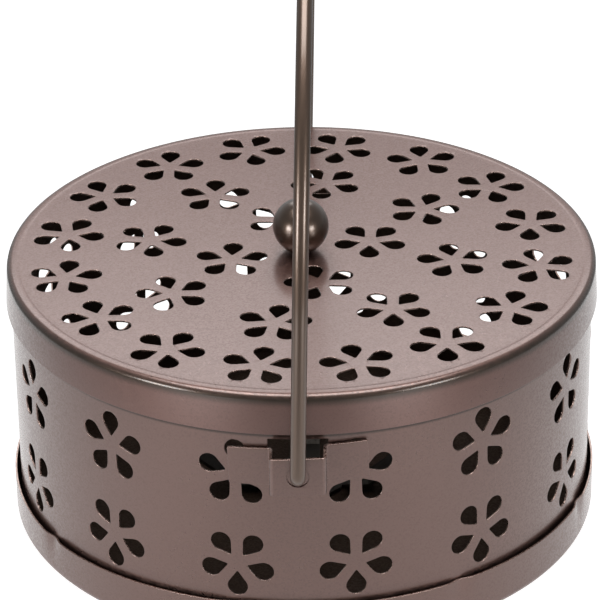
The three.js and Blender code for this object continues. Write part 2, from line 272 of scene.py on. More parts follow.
def shade(red: float, green: float, blue: float) -> Color:
    """A colour written as the eye reads it, from 0 to 255, turned into light values.

    Args:
        red: Its red.
        green: Its green.
        blue: Its blue.

    Returns:
        The colour, with full cover.
    """

    def light(value: float) -> float:
        """The light value of one channel, by the usual screen curve."""
        share = value / 255
        return share / 12.92 if share <= 0.04045 else ((share + 0.055) / 1.055) ** 2.4

    return (light(red), light(green), light(blue), 1.0)


@dataclass(frozen=True)
class Finish:
    """A finish whose material is made once.

    Attributes:
        name: The material's name.
    """

    name: str

    def material(self) -> bpy.types.Material:
        """The material, made the first time that it is asked for.

        Returns:
            The material.
        """
        held = bpy.data.materials.get(self.name)
        if held is None:
            held = bpy.data.materials.new(self.name)
            build = NodeBuilder.emptied(held)
            surface = build.node("ShaderNodeBsdfPrincipled", self.surface(build))
            build.node("ShaderNodeOutputMaterial", {"Surface": surface.outputs["BSDF"]})
        return held

    def surface(self, build: NodeBuilder) -> dict[str, object]:
        """The values and sockets of the surface's inputs, which each kind of finish gives."""
        raise NotImplementedError


@dataclass(frozen=True)
class PaintedShadeRing:
    """A ring of painted shade that darkens a coat's colour round the case.

    Attributes:
        radius: The radius of the line.
        height: Its height.
        reach: How far from the line the coat is dark.
        strength: How dark it is.
    """

    radius: float
    height: float
    reach: float
    strength: float

    def mask(self, build: NodeBuilder) -> Socket:
        """The share of the painted shade.

        Args:
            build: The material's node builder.

        Returns:
            The share's socket.
        """
        place = build.node("ShaderNodeTexCoord").outputs["Object"]
        parts = build.node("ShaderNodeSeparateXYZ", {"Vector": place}).outputs
        out = build.math("SUBTRACT", build.distance(parts["X"], parts["Y"]), self.radius * MM)
        up = build.math("SUBTRACT", parts["Z"], self.height * MM)
        return build.fade(build.distance(out, up), (0.0, self.reach * MM), (self.strength, 0.0), soft=True)


@dataclass(frozen=True)
class MetallicCoat(Finish):
    """A sprayed bronze coat with a fine sparkle under a thin clear gloss.

    Attributes:
        light: Its colour where the coat is fresh.
        dark: Its colour in the clouded patches.
        fresh_share: The share of the light colour in an even patch.
        metallic: How metallic it is.
        roughness: How dull it is.
        gloss: The weight of the clear layer.
        gloss_roughness: How dull the clear layer is.
        sparkle: How much neighbouring flakes differ.
        grain: How many flakes lie side by side in a metre.
        relief: How strongly the grain shows as relief.
        grain_depth: How deep that relief is.
        ring: A ring of painted shade in the coat.
        painted_shade_color: The colour of that painted shade.
    """

    light: Color
    dark: Color
    fresh_share: float = 0.5
    metallic: float = 1.0
    roughness: float = 0.45
    gloss: float = 1.0
    gloss_roughness: float = 0.2
    sparkle: float = 0.35
    grain: float = 2600.0
    relief: float = 0.08
    grain_depth: float = 0.1
    ring: PaintedShadeRing | None = None
    painted_shade_color: Color = (0.02, 0.012, 0.008, 1.0)

    def surface(self, build: NodeBuilder) -> dict[str, object]:
        """The coat's colour, dullness, relief and gloss.

        Args:
            build: The material's node builder.

        Returns:
            A value or a socket for each input of the surface.
        """
        grain = PaintGrain().place(build, {"Grain Scale": self.grain, "Sparkle": self.sparkle}).outputs
        color = build.blend(self.dark, self.light, build.math("MULTIPLY", grain["Factor"], self.fresh_share))
        # Blends the ring's painted shade into the coat's colour.
        if self.ring:
            color = build.blend(color, self.painted_shade_color, self.ring.mask(build))
        bump = {"Height": grain["Height"], "Strength": self.relief, "Distance": self.grain_depth * MM}
        return {
            "Base Color": color,
            "Metallic": self.metallic,
            "Roughness": build.math("ADD", grain["Roughness Shift"], self.roughness),
            "Normal": build.node("ShaderNodeBump", bump).outputs["Normal"],
            "Coat Weight": self.gloss,
            "Coat Roughness": self.gloss_roughness,
        }


@dataclass(frozen=True)
class PlatedSteel(Finish):
    """Zinc-plated steel with a soft mottle.

    Attributes:
        color: The colour of the plate.
        roughness: How dull it is.
        grain: How many crystals lie side by side in a metre.
        clouding: How much its patches differ.
    """

    color: Color
    roughness: float = 0.45
    grain: float = 900.0
    clouding: float = 0.25

    def surface(self, build: NodeBuilder) -> dict[str, object]:
        """The plate's colour and dullness.

        Args:
            build: The material's node builder.

        Returns:
            A value or a socket for each input of the surface.
        """
        grain = PaintGrain().place(build, {"Grain Scale": self.grain, "Clouding": self.clouding}).outputs
        return {
            "Base Color": build.blend(self.color, grain["Factor"], 1.0, "MULTIPLY"),
            "Metallic": 1.0,
            "Roughness": build.math("ADD", grain["Roughness Shift"], self.roughness),
        }


# The plate's colour is darkened as painted shade, since the stand and the screw sit in the shade inside the
# case.
STEEL = PlatedSteel("plated steel", color=shade(68, 64, 60))
BRONZE = MetallicCoat("bronze coat", light=shade(114, 90, 83), dark=shade(102, 78, 72))
# The wall's ring is a painted shadow just under the lid's skirt.
BRONZE_WALL = replace(
    BRONZE, name="bronze wall coat", ring=PaintedShadeRing(radius=73.7, height=58.7, reach=0.8, strength=0.85)
)
# The lid's ring is a painted dark reflection along the shoulder.
BRONZE_LID = replace(
    BRONZE,
    name="bronze lid coat",
    light=shade(114, 87, 80),
    dark=shade(102, 75, 69),
    ring=PaintedShadeRing(radius=74.6, height=68.7, reach=2.3, strength=0.9),
    painted_shade_color=shade(46, 37, 26),
)
# The cut edges take a lighter copy of the coat: thinner paint on the edges, and a painted highlight along
# them.
BRONZE_EDGE = replace(
    BRONZE, name="bronze cut edge", light=shade(176, 150, 140), dark=shade(150, 126, 116), roughness=0.35
)
# The inside takes a dull copy of the coat whose darker colour is painted shade inside the case.
BRONZE_INSIDE_SHADED = replace(
    BRONZE,
    name="bronze inside coat with painted shade",
    light=shade(82, 67, 58),
    dark=shade(66, 53, 46),
    roughness=0.6,
    gloss=0.0,
)
DARK_BRONZE = MetallicCoat(
    "dark bronze coat",
    light=shade(96, 76, 62),
    dark=shade(84, 65, 52),
    metallic=0.8,
    roughness=0.36,
    sparkle=0.06,
    grain=3400.0,
    relief=0.015,
)
# The ball takes a darker copy of the wire's coat: painted shade on the ball.
DARK_BRONZE_BALL_SHADED = replace(
    DARK_BRONZE, name="dark bronze ball coat with painted shade", light=shade(78, 59, 45), dark=shade(66, 49, 37), roughness=0.3
)


# Helpers for drawing and shaping meshes


def corners(node: str) -> tuple[Vector, Vector]:
    """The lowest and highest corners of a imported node, in millimetres."""
    low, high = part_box(node)
    return low / MM, high / MM


def polar(radius: float, degrees: float) -> Vector:
    """A point of the XY plane at a radius and an angle from the X axis."""
    angle = math.radians(degrees)
    return Vector((radius * math.cos(angle), radius * math.sin(angle), 0.0))


def flat(x: float, y: float) -> Vector:
    """A point of a flat sheet, which is drawn in the XY plane."""
    return Vector((x, y, 0.0))


def side(radius: float, height: float) -> Vector:
    """A point of a turned profile, which is drawn in the XZ plane."""
    return Vector((radius, 0.0, height))


class Pen:
    """Draws a chain of edges in one plane with the mesh's own operators."""

    def __init__(self, bm: Mesh, start: Vector, normal: Vector) -> None:
        """Starts a chain.

        Args:
            bm: The mesh to draw in.
            start: The first point.
            normal: The direction that positive arcs turn about.
        """
        self.bm = bm
        self.normal = normal
        self.first = bm.verts.new(start)
        self.tip = self.first

    def line(self, *places: Vector) -> None:
        """Draws straight edges.

        Args:
            *places: The ends of the edges, in order.
        """
        for place in places:
            self.tip = bmesh.ops.extrude_vert_indiv(self.bm, verts=[self.tip])["verts"][0]
            self.tip.co = place

    def arc(self, centre: Vector, degrees: float, steps: int) -> None:
        """Draws an arc from where the pen is.

        Args:
            centre: The middle of the arc.
            degrees: How far it turns about the plane's normal.
            steps: How many edges it has.
        """
        angle = math.radians(degrees)
        made = bmesh.ops.spin(
            self.bm, geom=[self.tip], cent=centre, axis=self.normal, angle=angle, steps=steps
        )
        self.tip = next(item for item in made["geom_last"] if isinstance(item, bmesh.types.BMVert))

    def close(self) -> None:
        """Joins the last point to the first."""
        self.bm.edges.new((self.tip, self.first))


def draw_rectangle(bm: Mesh, low: Vector, high: Vector) -> None:
    """Draws a rectangle in the XY plane.

    Args:
        bm: The mesh to draw in.
        low: Its lower left corner.
        high: Its upper right corner.
    """
    pen = Pen(bm, low, Z_AXIS)
    pen.line(flat(high.x, low.y), high, flat(low.x, high.y))
    pen.close()


def fill_outlines(bm: Mesh) -> None:
    """Fills the drawn outlines as one flat sheet whose inner outlines are holes."""
    bmesh.ops.triangle_fill(bm, edges=bm.edges[:], use_beauty=True, use_dissolve=False, normal=Z_AXIS)


def turn_profile(bm: Mesh, steps: int) -> None:
    """Spins the drawn profile all the way round the Z axis."""
    drawn = bm.verts[:] + bm.edges[:]
    bmesh.ops.spin(bm, geom=drawn, cent=ORIGIN, axis=Z_AXIS, angle=math.tau, steps=steps, use_merge=True)


def weld(bm: Mesh, reach: float = WELD) -> None:
    """Joins the points that lie within a reach of each other."""
    bmesh.ops.remove_doubles(bm, verts=bm.verts[:], dist=reach)


def rotate(bm: Mesh, degrees: float, axis: str, centre: Vector = ORIGIN) -> None:
    """Turns the whole mesh about an axis through a point."""
    turn = Matrix.Rotation(math.radians(degrees), 3, axis)
    bmesh.ops.rotate(bm, cent=centre, matrix=turn, verts=bm.verts[:])


def face_away(bm: Mesh, middle: Vector) -> None:
    """Turns the faces of an open or closed shell so that they look away from its middle.

    Args:
        bm: The mesh.
        middle: A point inside the shell.
    """
    bmesh.ops.recalc_face_normals(bm, faces=bm.faces[:])
    outward = sum((f.calc_center_median() - middle).dot(f.normal) * f.calc_area() for f in bm.faces)
    if outward < 0:
        bmesh.ops.reverse_faces(bm, faces=bm.faces[:])


def arc_points(centre: Vector, radius: float, start: float, end: float, steps: int) -> list[Vector]:
    """Points of an arc in a plane, ends included.

    Args:
        centre: The middle of the arc.
        radius: Its radius.
        start: The angle of the first point, in degrees.
        end: The angle of the last point, in degrees.
        steps: How many stretches lie between them.

    Returns:
        The points, as two-number vectors.
    """
    angles = (math.radians(start + (end - start) * step / steps) for step in range(steps + 1))
    return [centre + radius * Vector((math.cos(angle), math.sin(angle))) for angle in angles]


@dataclass(frozen=True)
class BendPath:
    """The polyline in plan along which a flat sheet is bent, with the sheet's Y upright.

    Attributes:
        points: Places of the path, each as two numbers.
        start: The place on the sheet's X axis where the path begins.
    """

    points: list[Vector]
    start: float

    def stations(self) -> list[float]:
        """The places of the path's points along the sheet's X axis.

        Returns:
            The places, from the path's first point to its last.
        """
        places = [self.start]
        for before, after in zip(self.points, self.points[1:]):
            places.append(places[-1] + (after - before).length)
        return places

    def bend(self, bm: Mesh, reach: float) -> None:
        """Cuts the sheet at every station and lays it along the path.

        Args:
            bm: The flat sheet, drawn in the XY plane.
            reach: How near to each other the cuts' points are joined.
        """
        places = self.stations()
        for place in places[1:-1]:
            geom = bm.verts[:] + bm.edges[:] + bm.faces[:]
            bmesh.ops.bisect_plane(bm, geom=geom, dist=reach * MM, plane_co=X_AXIS * place, plane_no=X_AXIS)
        weld(bm, reach)
        for vert in bm.verts:
            index = sum(1 for station in places[1:-1] if station <= vert.co.x)
            share = (vert.co.x - places[index]) / (places[index + 1] - places[index])
            spot = self.points[index].lerp(self.points[index + 1], share)
            vert.co = Vector((spot.x, spot.y, vert.co.y))


@dataclass(frozen=True)
class Piece:
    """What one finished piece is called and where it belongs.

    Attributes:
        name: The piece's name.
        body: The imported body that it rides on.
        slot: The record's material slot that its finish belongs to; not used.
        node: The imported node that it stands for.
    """

    name: str
    body: Body
    slot: Slot
    node: str

    def make(self, bm: Mesh, *finishes: Finish) -> Object:
        """Turns a mesh drawn in millimetres into the finished piece.

        Args:
            bm: The drawn mesh, which is freed.
            *finishes: The piece's finishes, in the order of its material slots.

        Returns:
            The piece's object.
        """
        bm.transform(Matrix.Scale(MM, 4))
        mesh = bpy.data.meshes.new(self.name)
        bm.to_mesh(mesh)
        bm.free()
        mesh.shade_smooth()
        for finish in finishes:
            mesh.materials.append(finish.material())
        piece = bpy.data.objects.new(self.name, mesh)
        bpy.context.scene.collection.objects.link(piece)
        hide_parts(self.node)
        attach(piece, self.body.value)
        return piece


@dataclass(frozen=True)
class SheetMetal:
    """Gives a drawn skin the thickness and the broken edges of punched sheet.

    Attributes:
        thickness: The thickness of the sheet.
        offset: Where the sheet lies on the drawn skin: -1 behind it, 0 astride it.
        even: Whether the thickness is kept even round sharp bends.
        edge: The width of its rounded edges.
        edge_steps: How many faces a rounded edge has.
        sharp_angle: The least angle that counts as an edge, in degrees.
        flat_weight: How much the large faces count in the smooth shading, where 50 is even.
    """

    thickness: float = 0.5
    offset: float = -1.0
    even: bool = True
    edge: float = 0.09
    edge_steps: int = 2
    sharp_angle: float = 40.0
    flat_weight: int = 100

    def form(self, piece: Piece, bm: Mesh, coat: Finish) -> Object:
        """Makes a painted piece of sheet from its drawn skin.

        Args:
            piece: What the piece is called and where it belongs.
            bm: The drawn skin, which is freed.
            coat: The finish of the outside.

        Returns:
            The piece's object.
        """
        made = piece.make(bm, coat, BRONZE_EDGE, BRONZE_INSIDE_SHADED)
        shell = made.modifiers.new("sheet thickness", "SOLIDIFY")
        shell.thickness = self.thickness * MM
        shell.offset = self.offset
        shell.use_even_offset = self.even
        # The rims take the cut edges' coat with its painted highlight; the inner side takes the inside coat
        # with its painted shade.
        shell.material_offset_rim = 1
        shell.material_offset = 2
        self.round_edges(made)
        return made

    def round_edges(self, made: Object) -> None:
        """Adds the rounded edges, and normals that keep the flats flat.

        Args:
            made: The piece's object.
        """
        rounding = made.modifiers.new("broken edges", "BEVEL")
        rounding.width = self.edge * MM
        rounding.segments = self.edge_steps
        rounding.limit_method = "ANGLE"
        rounding.angle_limit = math.radians(self.sharp_angle)
        rounding.use_clamp_overlap = False
        rounding.miter_outer = "MITER_ARC"
        normals = made.modifiers.new("flat normals", "WEIGHTED_NORMAL")
        normals.weight = self.flat_weight
        normals.keep_sharp = False


@dataclass(frozen=True)
class FlowerPunch:
    """The punch for one five-petalled flower: each petal is a drop that points at the middle.

    Attributes:
        petals: How many petals a flower has.
        reach: From the flower's middle to the centre of a petal's round end.
        half_width: The radius of the round end.
        tip: From the flower's middle to the petal's tip.
        tip_radius: The rounding of the tip.
        round_steps: Edges of the round end.
        tip_steps: Edges of the tip.
    """

    petals: int = 5
    reach: float = 6.8
    half_width: float = 2.5
    tip: float = 2.6
    tip_radius: float = 0.3
    round_steps: int = 16
    tip_steps: int = 3

    def directions(self, first: float) -> list[float]:
        """The directions of a flower's petals, in degrees, from the first one round."""
        return [first + 360 * petal / self.petals for petal in range(self.petals)]

    def draw_petal(self, bm: Mesh, middle: Vector, direction: float) -> None:
        """Draws one petal's outline in the XY plane.

        Args:
            bm: The mesh to draw in.
            middle: The flower's middle.
            direction: Where the petal points to, in degrees.
        """
        tip_centre = self.tip + self.tip_radius
        spread = (self.half_width - self.tip_radius) / (self.reach - tip_centre)
        tangent = 90 + math.degrees(math.asin(spread))
        round_middle = middle + polar(self.reach, direction)
        tip_middle = middle + polar(tip_centre, direction)
        pen = Pen(bm, round_middle + polar(self.half_width, direction - tangent), Z_AXIS)
        pen.arc(round_middle, 2 * tangent, self.round_steps)
        pen.line(tip_middle + polar(self.tip_radius, direction + tangent))
        pen.arc(tip_middle, 360 - 2 * tangent, self.tip_steps)
        pen.close()


# The lid and its knob


@dataclass
class Lid:
    """The pierced lid, with a low pressed bead round its edge and a turned-down skirt.

    Attributes:
        radius: The outside radius of the skirt, from the frame.
        top: The height of the flat top, from the frame.
        bottom: The height of the skirt's lower edge, from the frame.
        edge_radius: The radius of the shoulder.
        edge_steps: How many edges the shoulder's section has.
        bead_radius: The radius of the bead's section.
        bead_height: How far the bead stands up.
        bead_steps: How many edges the bead's section has.
        flat_inset: From the skirt to the edge of the flat.
        flare: How far the skirt widens from its top to its lower edge.
        screw_hole: The radius of the hole for the knob's screw.
        hole_steps: How many steps go round that hole.
        steps: How many steps go round the lid.
        rings: For each ring of flowers, how many there are, its radius as a share of the lid's
            radius, and the angle of its first flower.
        punch: The punch for the flowers.
        metal: The sheet that it is pressed from.
    """

    radius: float = field(init=False)
    top: float = field(init=False)
    bottom: float = field(init=False)
    edge_radius: float = 1.7
    edge_steps: int = 10
    bead_radius: float = 6.0
    bead_height: float = 0.05
    bead_steps: int = 8
    flat_inset: float = 5.2
    flare: float = 0.5
    screw_hole: float = 1.8
    hole_steps: int = 24
    steps: int = 192
    rings: tuple[tuple[int, float, float], ...] = (
        (16, 0.8055, -8.85),
        (8, 0.5185, -8.85),
        (4, 0.2425, 16.15),
    )
    punch: FlowerPunch = FlowerPunch()
    metal: SheetMetal = SheetMetal()

    def __post_init__(self) -> None:
        """Reads the lid's reach from the frame."""
        low, high = corners("lid")
        self.radius, self.top, self.bottom = high.x, high.z, low.z

    def _draw_flat(self) -> bpy.types.Mesh:
        """Draws and fills the pierced flat of the lid.

        Returns:
            The flat's mesh.
        """
        bm = bmesh.new()
        edge = self.radius - self.flat_inset
        for radius, steps in ((edge, self.steps), (self.screw_hole, self.hole_steps)):
            bmesh.ops.create_circle(bm, cap_ends=False, radius=radius, segments=steps)
        for count, share, first in self.rings:
            for index in range(count):
                place = first + 360 * index / count
                for direction in self.punch.directions(place + 180):
                    self.punch.draw_petal(bm, polar(share * self.radius, place), direction)
        fill_outlines(bm)
        bmesh.ops.translate(bm, verts=bm.verts[:], vec=Z_AXIS * self.top)
        drawn = bpy.data.meshes.new("lid flat")
        bm.to_mesh(drawn)
        bm.free()
        return drawn

    def _draw_rim(self, bm: Mesh) -> None:
        """Draws and spins the bead, the shoulder and the skirt.

        Args:
            bm: The mesh to draw in.
        """
        shoulder = side(self.radius - self.flare - self.edge_radius, self.top - self.edge_radius)
        half = math.degrees(math.acos(1 - self.bead_height / self.bead_radius))
        reach = self.bead_radius * math.sin(math.radians(half))
        crest = shoulder.x - reach
        pen = Pen(bm, side(self.radius - self.flat_inset, self.top), -Y_AXIS)
        pen.line(side(crest - reach, self.top))
        pen.arc(side(crest, self.top + self.bead_height - self.bead_radius), -2 * half, self.bead_steps)
        pen.arc(shoulder, -90, self.edge_steps)
        pen.line(side(self.radius, self.bottom))
        turn_profile(bm, self.steps)

    def build(self) -> Object:
        """Builds the lid.

        Returns:
            The lid's object.
        """
        bm = bmesh.new()
        self._draw_rim(bm)
        drawn = self._draw_flat()
        bm.from_mesh(drawn)
        bpy.data.meshes.remove(drawn)
        weld(bm)
        face_away(bm, Z_AXIS * self.bottom)
        return self.metal.form(Piece("lid_shell", Body.LID, Slot.BRONZE, "lid"), bm, BRONZE_LID)


@dataclass
class Knob:
    """The ball on the lid, with the screw and washer that hold it from below.

    Attributes:
        radius: The ball's radius.
        foot_radius: The radius of the flat that it stands on.
        bore_radius: The radius of the screw's hole.
        bore_depth: How deep that hole goes.
        head_height: The height of the screw's head.
        crown: The rounding of the head.
        shank_play: The gap between the hole and the screw's thread.
        thread_pitch: From one groove of the thread to the next.
        thread_depth: The depth of a groove.
        point_inset: How much narrower than the thread the screw's point is.
        ball_steps: How many edges the ball's section has.
        crown_steps: How many edges the crown's section has.
        ball_turns: How many steps go round the ball.
        screw_turns: How many steps go round the screw.
        washer_turns: How many steps go round the washer.
        screw_edge: How the screw's edges are rounded.
        washer_edge: How the washer's edges are rounded.
    """

    radius: float = 7.1
    foot_radius: float = 2.6
    bore_radius: float = 1.8
    bore_depth: float = 6.0
    head_height: float = 1.8
    crown: float = 0.6
    shank_play: float = 0.3
    thread_pitch: float = 0.5
    thread_depth: float = 0.2
    point_inset: float = 0.4
    ball_steps: int = 40
    crown_steps: int = 5
    ball_turns: int = 64
    screw_turns: int = 32
    washer_turns: int = 48
    screw_edge: SheetMetal = SheetMetal(edge=0.05)
    washer_edge: SheetMetal = SheetMetal(edge=0.08)

    def _ball(self) -> Object:
        """Turns the ball.

        Returns:
            The ball's object.
        """
        top = corners("lid_knob")[1].z
        bm = bmesh.new()
        drop = math.sqrt(self.radius**2 - self.foot_radius**2)
        middle = side(0.0, top - self.radius)
        foot = top - self.radius - drop
        bore_top = foot + self.bore_depth
        pen = Pen(bm, side(0.0, bore_top), -Y_AXIS)
        pen.line(side(self.bore_radius, bore_top), side(self.bore_radius, foot), side(self.foot_radius, foot))
        pen.arc(middle, 90 + math.degrees(math.atan2(drop, self.foot_radius)), self.ball_steps)
        pen.tip.co.x = 0.0
        turn_profile(bm, self.ball_turns)
        weld(bm)
        face_away(bm, middle)
        return Piece("knob_ball", Body.LID, Slot.DARK_BRONZE, "lid_knob").make(bm, DARK_BRONZE_BALL_SHADED)

    def _screw(self) -> Object:
        """Turns the screw, with its crowned head and its thread.

        Returns:
            The screw's object.
        """
        low, high = corners("knob_screw")
        rim = high.x - self.crown
        shank = self.bore_radius - self.shank_play
        head_top = low.z + self.head_height
        bm = bmesh.new()
        pen = Pen(bm, side(0.0, low.z), -Y_AXIS)
        pen.line(side(rim, low.z))
        pen.arc(side(rim, low.z + self.crown), 90, self.crown_steps)
        pen.line(side(high.x, head_top), side(shank, head_top))
        half_pitch = self.thread_pitch / 2
        for index in range(int((high.z - head_top) / self.thread_pitch) - 1):
            level = head_top + self.thread_pitch * index + half_pitch
            pen.line(side(shank, level), side(shank - self.thread_depth, level + half_pitch))
        pen.line(side(shank - self.point_inset, high.z), side(0.0, high.z))
        turn_profile(bm, self.screw_turns)
        weld(bm)
        face_away(bm, Z_AXIS * head_top)
        screw = Piece("knob_screw_turned", Body.LID, Slot.STEEL, "knob_screw").make(bm, STEEL)
        self.screw_edge.round_edges(screw)
        return screw

    def _washer(self) -> Object:
        """Turns the washer.

        Returns:
            The washer's object.
        """
        low, high = corners("knob_washer")
        bm = bmesh.new()
        pen = Pen(bm, side(self.bore_radius, low.z), -Y_AXIS)
        pen.line(side(high.x, low.z), side(high.x, high.z), side(self.bore_radius, high.z))
        pen.close()
        turn_profile(bm, self.washer_turns)
        face_away(bm, Z_AXIS * (low.z + high.z) / 2)
        washer = Piece("knob_washer_turned", Body.LID, Slot.STEEL, "knob_washer").make(bm, STEEL)
        self.washer_edge.round_edges(washer)
        return washer

    def build(self) -> list[Object]:
        """Builds the ball, the screw and the washer."""
        return [self._ball(), self._screw(), self._washer()]


# The wall, the tray and the straps


@dataclass(frozen=True)
class PatternLay:
    """How the rows of flowers lie on one half of the wall.

    Attributes:
        turn: How far the rows are turned round the case, in degrees.
        slope: How far they rise at the right of the front.
        drop: How far they lie below their plain heights.
    """

    turn: float
    slope: float
    drop: float = 0.0


@dataclass
class Wall:
    """The pierced wall of the case, bent from a flat strip, with a window behind each strap.

    Attributes:
        radius: The wall's outside radius, from the frame.
        bottom: The height of its lower edge, from the frame.
        top: The height of its upper edge, from the frame.
        lid_edge: The height of the lid's lower edge, from the frame.
        tray_edge: The height of the tray's rim, from the frame.
        seam: The angle of the wall's joint, from the front towards +X, in degrees.
        slice_angle: The angle between two cuts of the bend, in degrees.
        cut_weld: How near to each other the cuts' points are joined.
        columns: How many columns of flowers there are on each side.
        pair_angle: Half the angle between the two columns beside a strap.
        front_half: How the pattern lies on the front half.
        rear_half: How it lies on the rear half.
        upper_drop: From the lid's lower edge to the middle of the upper flowers.
        lower_rise: From the tray's rim to the middle of the lower flowers.
        window_width: The width of a window.
        window_height: Its height.
        window_drop: From the lid's lower edge to the window's top.
        plain_half_width: Half the width of the unpierced sheet round a window.
        punch: The punch for the flowers.
        metal: The sheet that it is bent from.
    """

    radius: float = field(init=False)
    bottom: float = field(init=False)
    top: float = field(init=False)
    lid_edge: float = field(init=False)
    tray_edge: float = field(init=False)
    seam: float = 127.15
    slice_angle: float = 1.5
    cut_weld: float = 0.12
    columns: int = 7
    pair_angle: float = 11.25
    front_half: PatternLay = PatternLay(turn=-0.55, slope=1.0)
    rear_half: PatternLay = PatternLay(turn=0.5, slope=-0.86, drop=0.5)
    upper_drop: float = 11.8
    lower_rise: float = 10.8
    window_width: float = 14.4
    window_height: float = 8.0
    window_drop: float = 1.85
    plain_half_width: float = 13.0
    punch: FlowerPunch = FlowerPunch()
    metal: SheetMetal = SheetMetal(even=False)

    def __post_init__(self) -> None:
        """Reads the wall's reach and its neighbours' edges from the frame."""
        low, high = corners("case_wall")
        self.radius, self.bottom, self.top = high.x, low.z, high.z
        self.lid_edge = corners("lid")[0].z
        self.tray_edge = corners("base_tray")[1].z

    def _chord_length(self, angle: float) -> float:
        """The length of the bent strip's facets from the front to an angle."""
        chord = 2 * self.radius * math.sin(math.radians(self.slice_angle) / 2)
        return angle / self.slice_angle * chord

    def _place(self, angle: float) -> float:
        """The place on the flat strip of an angle round the case."""
        return self._chord_length((angle - self.seam) % 360 - 360 + self.seam)

    def _is_plain(self, column: float, direction: float, height: float) -> bool:
        """Whether a petal is left out because it would run into a window.

        Args:
            column: The angle of the flower's column.
            direction: Where the petal points to.
            height: The height of the flower's middle.

        Returns:
            True where the sheet stays unpierced.
        """
        near = column - math.copysign(180, column) if abs(column) > 90 else column
        petal = polar(self.punch.reach, direction)
        across = self.radius * math.sin(math.radians(near)) + petal.x
        petal_top = height + petal.y + self.punch.half_width
        window_bottom = self.lid_edge - self.window_drop - self.window_height
        return abs(across) < self.plain_half_width and petal_top > window_bottom

    def _draw_flowers(self, bm: Mesh) -> None:
        """Draws every flower on the flat strip.

        Args:
            bm: The mesh to draw in.
        """
        pitch = (180 - 2 * self.pair_angle) / (self.columns - 1)
        levels = ((self.lid_edge - self.upper_drop, 90), (self.tray_edge + self.lower_rise, -90))
        plain = [way * (self.pair_angle + pitch * index) for way in (-1, 1) for index in range(self.columns)]
        for angle in plain:
            lay = self.rear_half if abs(angle) > 90 else self.front_half
            column = angle + lay.turn
            rise = lay.slope * math.sin(math.radians(column)) - lay.drop
            for level, first in levels:
                for direction in self.punch.directions(first):
                    if not self._is_plain(column, direction, level + rise):
                        self.punch.draw_petal(bm, flat(self._place(column), level + rise), direction)

    def _draw_window(self, bm: Mesh, angle: float) -> None:
        """Draws one window's outline on the flat strip.

        Args:
            bm: The mesh to draw in.
            angle: The window's angle from the front.
        """
        half = self.window_width / 2
        place = self._place(angle)
        top = self.lid_edge - self.window_drop
        draw_rectangle(bm, flat(place - half, top - self.window_height), flat(place + half, top))

    def build(self) -> Object:
        """Builds the wall.

        Returns:
            The wall's object.
        """
        bm = bmesh.new()
        start = self._chord_length(self.seam - 360)
        end = self._chord_length(self.seam)
        draw_rectangle(bm, flat(start, self.bottom), flat(end, self.top))
        self._draw_flowers(bm)
        for angle in (0.0, 180.0):
            self._draw_window(bm, angle)
        fill_outlines(bm)
        steps = round(360 / self.slice_angle)
        last = self.seam + FRONT
        circle = arc_points(Vector((0.0, 0.0)), self.radius, last - 360, last, steps)
        BendPath(circle, start).bend(bm, self.cut_weld)
        weld(bm)
        face_away(bm, Z_AXIS * (self.bottom + self.top) / 2)
        return self.metal.form(Piece("case_wall_sheet", Body.CASE, Slot.BRONZE, "case_wall"), bm, BRONZE_WALL)


